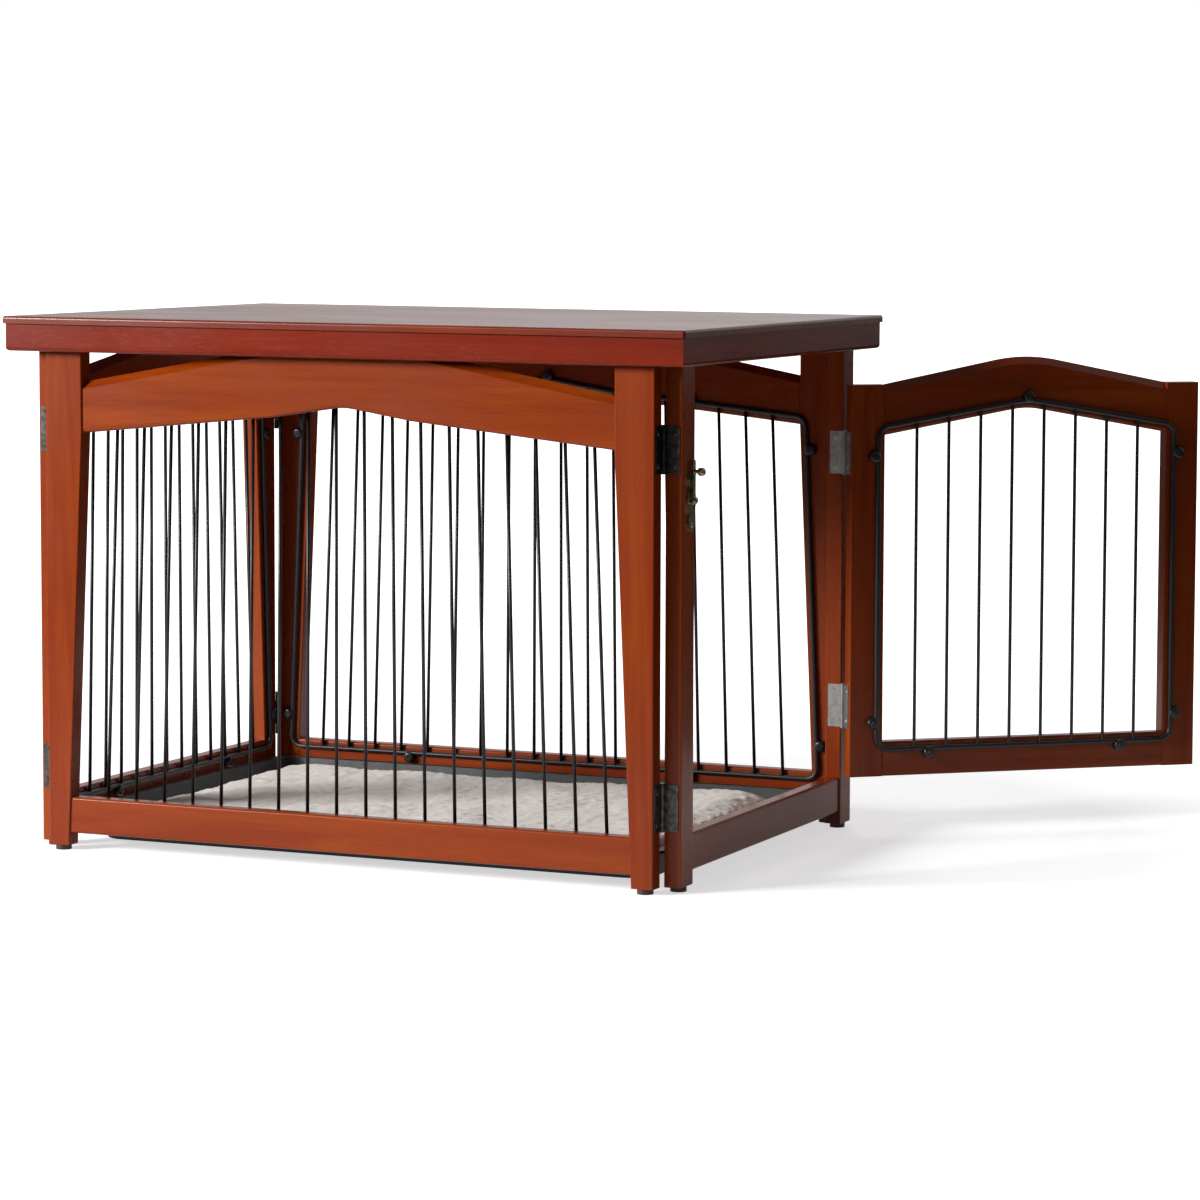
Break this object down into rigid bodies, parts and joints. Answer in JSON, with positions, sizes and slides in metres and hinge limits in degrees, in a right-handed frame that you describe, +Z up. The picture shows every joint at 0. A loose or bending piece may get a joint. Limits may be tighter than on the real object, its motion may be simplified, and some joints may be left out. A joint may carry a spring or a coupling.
{
  "type": "dog crate end table",
  "caption": "Wooden dog crate that serves as an end table, with wire grille panels, a hinged end door with a swing latch, a plastic floor tray and a lift-off top.",
  "frame": {"origin": "on the floor, under the middle of the box that holds the crate with its door open as pictured", "axes": "+X along the long side towards the doorway, +Y from the front panel to the back panel, +Z up"},
  "size_m": [1.1798, 0.7974, 0.61],
  "materials": {
    "wood": "satin mahogany stain under clear lacquer",
    "wire": "black powder coat",
    "clip": "black moulded plastic",
    "glide": "moulded plastic",
    "tray": "black formed sheet, fine matte",
    "corner_hinge": "satin nickel plate",
    "door_hinge": "dark bronzed steel",
    "latch": "antique brass",
    "fleece": "beige fleece"
  },
  "bodies": {
    "crate": {"front_post_left": "wood", "front_post_right": "wood", "front_arch_rail": "wood", "front_bottom_rail": "wood", "front_grille": "wire", "front_grille_clips": "clip", "back_post_left": "wood", "back_post_right": "wood", "back_arch_rail": "wood", "back_bottom_rail": "wood", "back_grille": "wire", "back_grille_clips": "clip", "left_end_post_front": "wood", "left_end_post_back": "wood", "left_end_arch_rail": "wood", "left_end_bottom_rail": "wood", "left_end_grille": "wire", "left_end_grille_clips": "clip", "right_end_post_front": "wood", "right_end_post_back": "wood", "right_end_bottom_rail": "wood", "corner_hinge_leaves_long": "corner_hinge", "corner_hinge_leaves_end": "corner_hinge", "corner_hinge_pins": "corner_hinge", "door_hinge_leaves_post": "door_hinge", "door_hinge_pins": "door_hinge", "latch_plate": "latch", "latch_stud": "latch", "tray_cleat_front": "wood", "tray_cleat_back": "wood", "floor_glides": "glide"},
    "top": {"top_board": "wood", "apron_front": "wood", "apron_back": "wood", "apron_left": "wood", "apron_right": "wood"},
    "door": {"door_stile_hinge": "wood", "door_stile_latch": "wood", "door_arch_rail": "wood", "door_bottom_rail": "wood", "door_grille": "wire", "door_grille_clips": "clip", "door_hinge_leaves_door": "door_hinge", "latch_keeper": "latch"},
    "latch": {"latch_lever": "latch", "latch_knob": "latch"},
    "tray": {"tray": "tray", "fleece_pad": "fleece"}
  },
  "joints": [
    {"name": "door_hinge", "type": "hinge", "parent": "crate", "child": "door", "pos_m": [0.23327, 0.12345, 0.299], "axis": [0, 0, 1], "range_deg": [-129, 51]},
    {"name": "latch_swing", "type": "hinge", "parent": "crate", "child": "latch", "pos_m": [0.23077, -0.33305, 0.425], "axis": [-1, 0, 0], "range_deg": [0, 90]},
    {"name": "top_lift", "type": "slide", "parent": "crate", "child": "top", "axis": [0, 0, 1], "range_m": [0, 0.3]},
    {"name": "tray_lift", "type": "slide", "parent": "crate", "child": "tray", "axis": [0, 0, 1], "range_m": [0, 0.3]}
  ]
}
